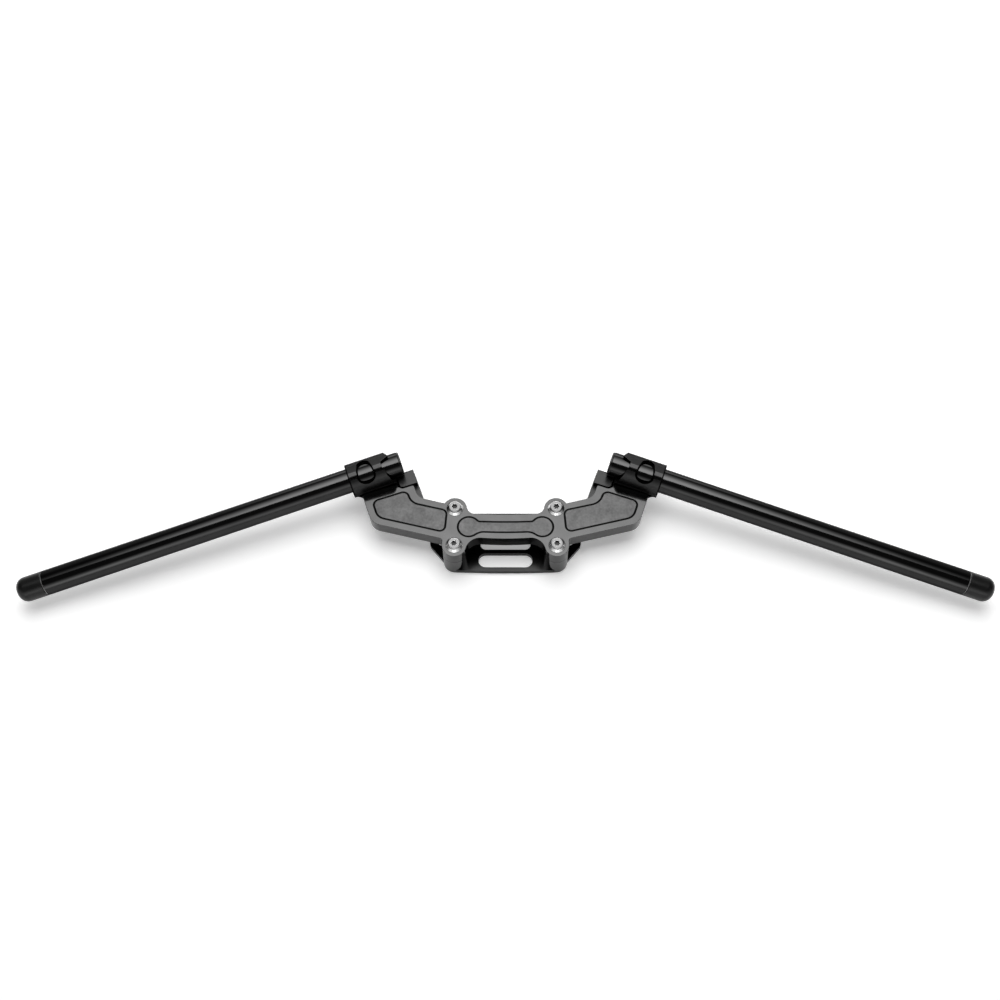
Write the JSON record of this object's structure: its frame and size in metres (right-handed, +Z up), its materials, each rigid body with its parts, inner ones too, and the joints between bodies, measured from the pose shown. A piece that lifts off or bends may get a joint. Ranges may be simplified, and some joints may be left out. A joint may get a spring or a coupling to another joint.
{
  "type": "clip on handlebar",
  "caption": "Motorcycle handlebar with two swept-back bars clamped to the angled wings of a machined bridge plate on a windowed bracket.",
  "frame": {"origin": "middle of the two yoke bolt holes, on the bracket's bottom face", "axes": "+Z up through the bridge plate, +X across the bike to the rider's right, the rider sits towards -Y"},
  "size_m": [0.8548, 0.1392, 0.0583],
  "materials": {
    "bridge": "satin titanium-grey anodised",
    "bracket": "satin dark grey anodised",
    "clamp": "satin black anodised",
    "bar": "glossy black anodised",
    "cap": "matte moulded black",
    "steel": "polished stainless steel",
    "dark_steel": "blackened steel"
  },
  "bodies": {
    "root": {"top_bridge": "bridge", "lower_bracket": "bracket", "bridge_screw_front_left": "steel", "bridge_screw_front_right": "steel", "bridge_screw_rear_left": "steel", "bridge_screw_rear_right": "steel", "left_clamp_base": "clamp", "right_clamp_base": "clamp", "left_clamp_cap": "clamp", "right_clamp_cap": "clamp", "left_cap_screw_outer": "dark_steel", "right_cap_screw_outer": "dark_steel", "left_cap_screw_inner": "dark_steel", "right_cap_screw_inner": "dark_steel", "left_foot_screws": "dark_steel", "right_foot_screws": "dark_steel", "left_foot_dowels": "dark_steel", "right_foot_dowels": "dark_steel", "left_bar_tube": "bar", "right_bar_tube": "bar", "left_end_cap": "cap", "right_end_cap": "cap", "left_inner_plug": "cap", "right_inner_plug": "cap"}
  },
  "joints": []
}
